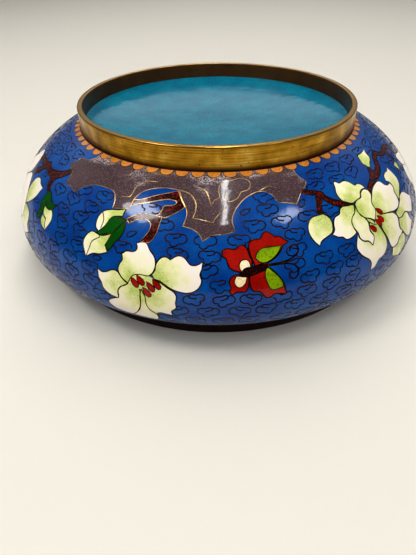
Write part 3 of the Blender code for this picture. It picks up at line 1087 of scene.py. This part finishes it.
def draw_clouds(picture):
    """Rows of cloud scrolls over the blue. Where a form of the picture is in the way, a
    cloud passes behind it, and drops fill the gaps that are too small for a cloud."""
    down = FIRST_CLOUDS
    row = 0
    while down < LAST_CLOUDS:
        scale = sheet_scale(on_sheet(0, down).y)
        count = round(SHEET_AROUND * scale / CLOUD_PITCH)
        for index in range(count):
            degrees = 360 * (index + 0.5 * (row % 2)) / count - 180
            aside, below = (random.uniform(-most, most) for most in CLOUD_SHIFT)
            centre = on_sheet(degrees + aside, down + below)
            turn = Matrix.Rotation(random.uniform(-CLOUD_TURN, CLOUD_TURN), 3, "Z")
            flip = random.choice((-1, 1))
            cloud = turn @ Matrix.Diagonal((flip, 1, 1)) * (CLOUD_SIZE / scale)
            if draw_cloud(picture, [centre + cloud @ Vector((*point, 0)) for point in CLOUD]):
                continue
            turn = Matrix.Rotation(random.uniform(-DROP_TURN, DROP_TURN), 3, "Z") * (1 / scale)
            for shift in DROP_PLACES:
                moved = centre + Vector((*shift, 0)) / scale
                if draw_drop(picture, [moved + turn @ Vector((*point, 0)) for point in DROP]):
                    break
        down += CLOUD_ROWS
        row += 1


def draw_cloud(picture, places):
    """Draws the part of a cloud that the picture leaves free, if enough of it is."""
    free = [not picture.is_taken(place) for place in places]
    if sum(free) < CLOUD_SHOWN * len(places):
        return False
    run = []
    for place, is_free in zip(places + [None], free + [False]):
        if is_free:
            run.append(place)
            continue
        if len(run) > 2:
            picture.wires["cloud"].append((run, False))
        run = []
    return True


def draw_drop(picture, places):
    """Draws a drop if the picture leaves it room."""
    middle = sum(places, Vector()) / len(places)
    wider = [middle + (place - middle) * DROP_ROOM for place in places]
    if any(picture.is_taken(place) for place in places + wider):
        return False
    picture.wires["cloud"].append((places, False))
    return True


def back(degrees, down):
    """The back of the bowl carries the same sprays, the other way round."""
    return on_sheet(180 - degrees, down)


def make_picture():
    picture = Picture()
    draw_sprays(picture, on_sheet)
    draw_butterfly(picture)
    draw_flower(picture, LEFT_FLOWER, on_sheet)
    draw_flower(picture, FAR_FLOWER, on_sheet)
    draw_sprays(picture, back)
    draw_scallops(picture)
    draw_clouds(picture)
    for down in BORDERS:
        around = [on_sheet(degrees, down) for degrees in range(-180, 180, 3)]
        picture.wires["border"].append((around, False))
    for kind, (name, material, slot, rise) in CELLS.items():
        make_cells(name, picture.cells[kind], material, slot, rise)
    for kind, (material, width) in WIRES.items():
        make_wires(kind + "_wires", picture.wires[kind], material, width)


make_vessel()
make_foot_ring()
make_mouth_rim()
make_picture()


# Studio


def soft_light(name, place, size, brightness, mirrored=True, aim=(0, 0, 0.03)):
    """A soft light. Its brightness is how many times white it looks in a reflection, and
    one that isn't mirrored only lifts the shadows."""
    lamp = bpy.data.lights.new(name, "AREA")
    lamp.shape = "RECTANGLE"
    lamp.size, lamp.size_y = size
    lamp.energy = brightness * math.pi * size[0] * size[1]
    holder = bpy.data.objects.new(name, lamp)
    holder.location = place
    holder.rotation_euler = (Vector(aim) - Vector(place)).to_track_quat("-Z", "Y").to_euler()
    holder.visible_glossy = mirrored
    bpy.context.scene.collection.objects.link(holder)


def towards(azimuth, elevation, distance):
    """A place seen from the bowl in that direction. Azimuth 0 is behind it, 90 right."""
    turn, rise = math.radians(azimuth), math.radians(elevation)
    level = distance * math.cos(rise)
    return (level * math.sin(turn), level * math.cos(turn), distance * math.sin(rise))


def make_floor():
    bm = bmesh.new()
    bmesh.ops.create_grid(bm, x_segments=1, y_segments=1, size=4)
    mesh = mesh_of("floor", bm)
    paint = new_material(
        "pale_floor", Roughness=0.6, Base_Color=linear("D0CBC0"), Specular_IOR_Level=0.2
    )[0]
    mesh.materials.append(paint)
    floor = bpy.data.objects.new("floor", mesh)
    bpy.context.scene.collection.objects.link(floor)


def make_studio():
    """A pale wall behind the bowl, dimmer sides, darkness in front, a long narrow light
    overhead and a small soft one on either side."""
    view = bpy.context.scene.view_settings
    view.view_transform = "Standard"
    view.look = "Medium High Contrast"
    view.exposure = -0.36
    world = bpy.data.worlds.new("studio")
    bpy.context.scene.world = world
    world.use_nodes = True
    tree = world.node_tree
    way = add(tree, COORDINATES).outputs["Generated"]
    parts = add(tree, PARTS, {0: way}).outputs
    turned_back = add(tree, RANGE, {"Value": parts[1], "From Min": -1.0})
    wall_stops = ((0.0, 0.05), (0.5, 0.14), (0.8, 0.5), (0.95, 1))
    rise_stops = (
        (0.1, 0.2), (0.28, 0.28), (0.34, 0.5), (0.43, 0.85), (0.52, 1), (0.72, 0.4), (1.0, 0.3)
    )
    wall, rise = (
        add(tree, RAMP, {0: share}, [(stop, grey(value)) for stop, value in stops])
        for share, stops in ((turned_back, wall_stops), (parts[2], rise_stops))
    )
    sky = add(
        tree, MIX, {SHARE: 1.0, ONE: wall, OTHER: rise},
        data_type="RGBA", blend_type="MULTIPLY",
    )
    connect(tree.nodes["Background"], {"Color": sky, "Strength": 1.15})
    soft_light("overhead_strip", (0.07, 0.3, 1.2), (0.045, 1.8), 38, aim=(0.07, 0, 0.03))
    soft_light("left_softbox", towards(-106, 59, 1.0), (0.26, 0.2), 20)
    soft_light("right_softbox", towards(116, 58, 1.0), (0.2, 0.1), 18)
    soft_light("front_fill", towards(180, 50, 1.8), (2.2, 1.6), 2.1, mirrored=False)
    soft_light("top_fill", towards(0, 80, 1.8), (2.0, 2.0), 0.6, mirrored=False)


def make_camera():
    """The photo's view: its lens, its height and tilt, and a slight roll."""
    lens = bpy.data.cameras.new("camera")
    lens.sensor_width = 36
    lens.lens = 27.05
    lens.clip_start = 0.01
    holder = bpy.data.objects.new("camera", lens)
    tilt = Matrix.Rotation(math.radians(90 - 39.24), 4, "X")
    roll = Matrix.Rotation(math.radians(-0.978), 4, "Z")
    holder.matrix_world = Matrix.Translation((-0.0051, -0.1970, 0.1217)) @ tilt @ roll
    bpy.context.scene.collection.objects.link(holder)
    bpy.context.scene.camera = holder


make_floor()
make_studio()
make_camera()
